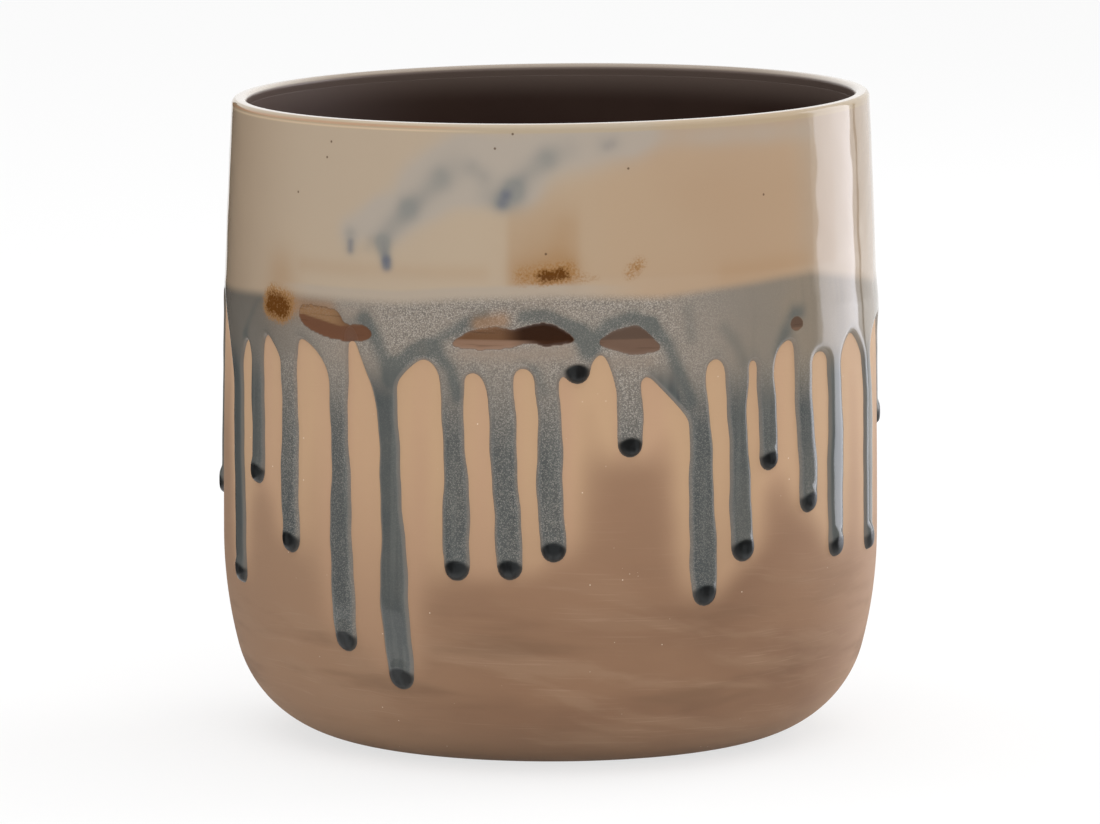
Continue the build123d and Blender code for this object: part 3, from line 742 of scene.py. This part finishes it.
    # The parted windows, darker in the middle one, paler and pinker along their lower ledge.
    wavy = side + (wander - 0.5) * 0.04
    high = paint.mix(side.ramp(-0.46, -0.4), srgb(138, 106, 76), srgb(110, 78, 58))
    high = paint.mix(side.ramp(-0.35, -0.25), high, srgb(110, 78, 54))
    high = paint.mix(wavy.ramp(-0.1, -0.045), high, srgb(54, 32, 19))
    high = paint.mix(side.ramp(0.05, 0.08), high, srgb(94, 75, 63))
    low = paint.mix(side.ramp(-0.35, -0.25), srgb(108, 74, 55), srgb(140, 110, 90))
    low = paint.mix(wavy.ramp(-0.075, -0.02), low, srgb(62, 38, 24))
    low = paint.mix(side.ramp(0.05, 0.08), low, srgb(112, 88, 73))
    pool = paint.mix(ledge, high, low)
    pool = paint.mix(amber.ramp(0.3, 0.9) * above_ledge * 0.4, pool, srgb(144, 106, 74))
    pool = paint.mix(dots.smaller(1.0) * gold * above_ledge * 0.4, pool, srgb(150, 136, 120))
    creases = paint.noise(1.0, 2.0, stretch=(60, 60, 1100), shift=2.0)
    pool = paint.mix(creases.ramp(0.6, 0.68) * 0.25, pool, srgb(60, 42, 32))
    parting = paint.mark("window") + (soft_grain - 0.5) * 0.3 * above_ledge
    parting = parting - (1.3 - 1.8 * grain) * gold * above_ledge * 0.5
    glass = paint.mix(parting.ramp(0.25, 0.45) * 0.6, glass, srgb(92, 62, 42))
    glass = paint.mix(parting.ramp(0.4, 0.7), glass, pool)
    # The lip: khaki where the glaze thins over the roll, a brown line on its left above a pale roll that is
    # partly pooled glaze and partly a painted highlight, a painted highlight along the crest, dimmer behind,
    # and the brown of the inside, painted as lit as the top of the liner and with a painted sheen on the
    # left.
    left, crest_highlight, inside = side.ramp(-0.08, -0.3), lip.ramp(1.95, 2.4), lip.ramp(4.4, 5.2)
    glass = paint.mix((lip + wander * 0.6).ramp(-0.9, -0.2) * 0.6, glass, srgb(180, 162, 134))
    rust_line = 1 - (lip - 0.7).larger(0.7 - lip).ramp(0.1, 0.7)
    glass = paint.mix(rust_line * left * 0.75, glass, srgb(180, 140, 108))
    # The pale roll is pooled glaze with a painted highlight on it.
    pale_roll_and_highlight = 1 - (lip + 0.35).larger(-0.35 - lip).ramp(0.05, 0.45)
    glass = paint.mix(pale_roll_and_highlight * left * 0.6, glass, srgb(216, 190, 162))
    # Painted highlight on the crest, toned down at the back.
    glass = paint.mix(crest_highlight, glass, srgb(218, 208, 197))
    glass = paint.mix(crest_highlight * paint.mark("behind").ramp(1.1, 1.6), glass, srgb(158, 143, 128))
    # The inside strip is painted as lit as the liner's top, with the same painted sheen on its left.
    painted_sheen = (paint.axes()[0] * -10.0).ramp(0.3, 0.95)
    glass = paint.mix(inside, glass, paint.mix(painted_sheen * 0.5, srgb(108, 93, 85), srgb(122, 106, 101)))
    for bearing, height in pinholes:
        at = tuple(placed(float(skin(height) + coat), bearing, height).tolist())
        away = paint.node("ShaderNodeVectorMath", {"operation": "DISTANCE"}, paint.place(), at, output=1)
        glass = paint.mix((1 - away.ramp(0.00022, 0.0005)) * 0.8, glass, srgb(84, 62, 46))
    relief = paint.noise(70.0, 2.0) + dots * frosty * 0.02
    dull = frosty * 0.16 + beads * 0.22 + thin * side.ramp(-0.7, -0.5) * 0.4 + inside * 0.29
    return paint.finish(glass, roughness=0.06 + dull, height=relief, bump=0.3, depth=0.0002)


upper.data.materials.append(outer_glaze("cream_glaze_paint", pinholes))
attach(upper, "root")
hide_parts("upper_glaze")

# Grey band: the thick collar of glass where the slide of the glaze stopped, arched between the runs. It is
# fused to the clay, meets the cream coat along a level seam, and is open where the windows parted.
runs_start, far_below_lip = 121, -50.0
glazed = thickness > -0.25
glazed = glazed | np.roll(glazed, -1, 1)
cell_glazed = glazed[:-1] | glazed[1:]
row_level = heights[:-1, None]
parted = (window[:-1] > 0.5) & (row_level < seam)
band_cells = cell_glazed & (row_level >= runs_start) & (row_level < seam - 0.1) & ~parted
sheet_marks = glaze_marks(B, Z, np.full_like(B, far_below_lip))
band = lattice_piece("grey_collar", band_cells, sheet, back, facing, sheet_marks)
band.data.materials.append(outer_glaze("grey_glaze_paint"))
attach(band, "root")
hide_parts("grey_band")

# Brown pools: the thin first glaze, brown and very glossy, that shows where the grey one parted. Each of
# the four is fused to the clay and fills its own window.
brown_paint = outer_glaze("brown_glaze_paint")
for number in range(1, len(windows) + 1):
    cells = parted & (window_number[:-1] == number)
    pool = lattice_piece(f"window_pool_{number}", cells, sheet, back, facing, sheet_marks)
    pool.data.materials.append(brown_paint)
    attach(pool, "root")
    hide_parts(f"brown_pool_{number}")

# Runs: fingers of glass that flowed on from the band and froze, each with a thick dark bead at its end.
# They are one sheet with the band on the pot, and are cut from it here as one piece each.
run_paint = outer_glaze("run_glaze_paint")
for number in range(len(runs)):
    cells = cell_glazed & (row_level < runs_start) & (run_column[:-1] == number)
    piece = lattice_piece(f"run_{number + 1:02d}", cells, sheet, back, facing, sheet_marks)
    piece.data.materials.append(run_paint)
    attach(piece, "root")
    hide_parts(f"glaze_run_{number + 1:02d}")

# Studio: a pale floor, large soft lamps in front, at both sides and above, a tall strip lamp to the right
# that draws the long bright reflection in the gloss, and a dark cloth round the pot that keeps the rest calm.
# Lengths from here on are metres.
floor = modelled("floor", np.array([(-9, -9, 0), (9, -9, 0), (9, 9, 0), (-9, 9, 0)]), [(0, 1, 2, 3)])


def white_to_the_eye(paint):
    """1 for rays from the camera, from gloss and through glass, which all see the white backdrop."""
    rays = paint.node("ShaderNodeLightPath", {}).link.node.outputs
    return (Socket(paint, rays["Is Camera Ray"]).larger(Socket(paint, rays["Is Glossy Ray"]))
            .larger(Socket(paint, rays["Is Transmission Ray"])))


paint = Paint("pale_floor", Roughness=0.9, Specular_IOR_Level=0.0, Base_Color=(0.92, 0.92, 0.92, 1))
glow = paint.node("ShaderNodeEmission", {}, (1, 1, 1, 1), 1.0)
lit = Socket(paint, paint.shader.outputs[0])
both = paint.node("ShaderNodeMixShader", {}, white_to_the_eye(paint) * 0.7, lit, glow)
paint.tree.links.new(both.link, paint.tree.nodes["Material Output"].inputs["Surface"])
floor.data.materials.append(paint.material)

cloth_left, cloth_right, gap_left, gap_right = -144, 121, 88, 119
cloth_radius, cloth_height, hem_lift = 0.25, 0.23, 0.0005
cloth_turns = np.radians(np.arange(cloth_left, cloth_right + 1))
hem = np.stack([cloth_radius * np.sin(cloth_turns), -cloth_radius * np.cos(cloth_turns),
                np.full(len(cloth_turns), hem_lift)], -1)
strips = [(i, i + 1, i + 1 + len(hem), i + len(hem)) for i in range(len(hem) - 1)
          if not gap_left <= i + cloth_left < gap_right]
cloth = modelled("dark_cloth", np.concatenate([hem, hem + (0, 0, cloth_height)]), strips)
paint = Paint("dark_cloth", Roughness=1.0, Specular_IOR_Level=0.0, Base_Color=(0.01, 0.01, 0.01, 1))
cloth.data.materials.append(paint.material)
cloth.visible_camera = cloth.visible_diffuse = cloth.visible_shadow = cloth.visible_transmission = False


def lamp(name, bearing, distance, level, width, height, radiance, tip=0.0, diffuse=True, gloss=False):
    """Area lamp at a bearing and distance that faces the pot; radiance 1 is as bright as white paper."""
    data = bpy.data.lights.new(name, "AREA")
    data.shape, data.size, data.size_y = "RECTANGLE", width, height
    data.energy = radiance * math.pi * width * height
    made, turn = in_scene(name, data), math.radians(bearing)
    made.location = (distance * math.sin(turn), -distance * math.cos(turn), level)
    made.rotation_euler = (math.radians(90 - tip), 0, turn)
    made.visible_camera = False
    made.visible_diffuse, made.visible_glossy = diffuse, gloss
    return made


strip = lamp("strip", 112.5, 0.462, 0.20, 0.212, 0.44, 2.55, diffuse=False, gloss=True)
strip.data.color = (0.96, 0.98, 1.1)
lamp("left_soft", -105, 1.6, 0.6, 1.2, 1.2, 0.8, tip=12)
lamp("right_soft", 124, 1.6, 0.6, 1.2, 1.2, 3.3, tip=12)
lamp("front_fill", 6, 2.4, 1.2, 2.0, 1.6, 1.9, tip=24)
sky = bpy.data.lights.new("over", "SUN")
sky.energy, sky.angle = 1.6, math.radians(80)
in_scene("over", sky)
world = bpy.data.worlds.new("studio")
paint = Paint("studio", world, Color=(1, 1, 1, 1))
paint.tree.links.new((0.4 + 0.6 * white_to_the_eye(paint)).link, paint.shader.inputs["Strength"])
bpy.context.scene.world = world
bpy.context.scene.view_settings.view_transform = "Standard"

# Camera: a long lens three metres off, a little above the rim, as in a catalogue picture. It looks down at
# the middle of the pot; its focal length is given in pixels of the 1100 that the picture is wide.
distance, tilt, aim, focal_pixels, picture_width = 3.0, math.radians(7.4), 0.09785, 9887.4, 1100
camera = bpy.data.cameras.new("camera")
camera.sensor_width = 36
camera.lens = focal_pixels * camera.sensor_width / picture_width
camera.clip_end = 100
viewer = in_scene("camera", camera)
viewer.location = (-0.00015, -distance, aim + distance * math.tan(tilt))
viewer.rotation_euler = (math.pi / 2 - tilt, 0, 0)
bpy.context.scene.camera = viewer
